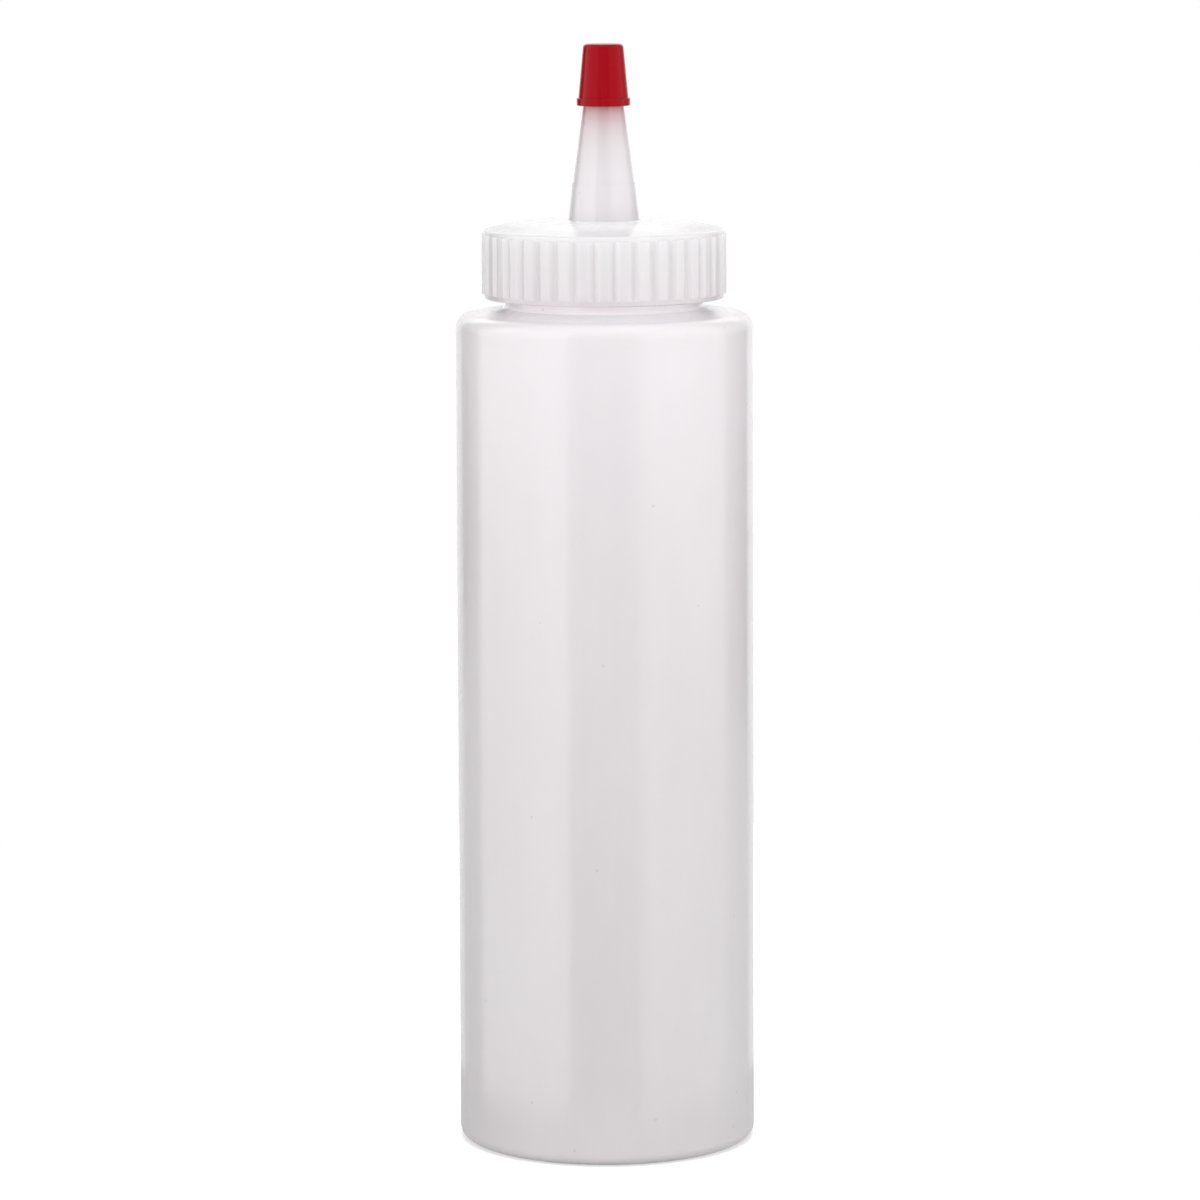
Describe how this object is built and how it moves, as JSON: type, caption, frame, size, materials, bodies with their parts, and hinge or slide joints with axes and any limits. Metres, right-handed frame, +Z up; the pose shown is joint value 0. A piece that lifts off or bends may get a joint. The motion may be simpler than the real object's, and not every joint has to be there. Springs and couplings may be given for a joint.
{
  "type": "applicator squeeze bottle",
  "caption": "Tall translucent squeeze bottle with a low sloping shoulder, a ribbed screw cap with a slim conical spout, and a small red cap pushed on the spout's tip.",
  "frame": {"origin": "centre of the flat ring that the bottle stands on", "axes": "+Z up along the bottle's axis, from the base to the tip of the spout; -Y is the front"},
  "size_m": [0.0504, 0.0504, 0.1864],
  "materials": {
    "bottle_plastic": "milky translucent, softly glossy, thin blow-moulded wall",
    "cap_plastic": "milky translucent, softly glossy, injection moulded",
    "tip_plastic": "opaque red, glossy"
  },
  "bodies": {
    "root": {"bottle": "bottle_plastic", "spout_cap": "cap_plastic", "tip_cap": "tip_plastic"}
  },
  "joints": []
}
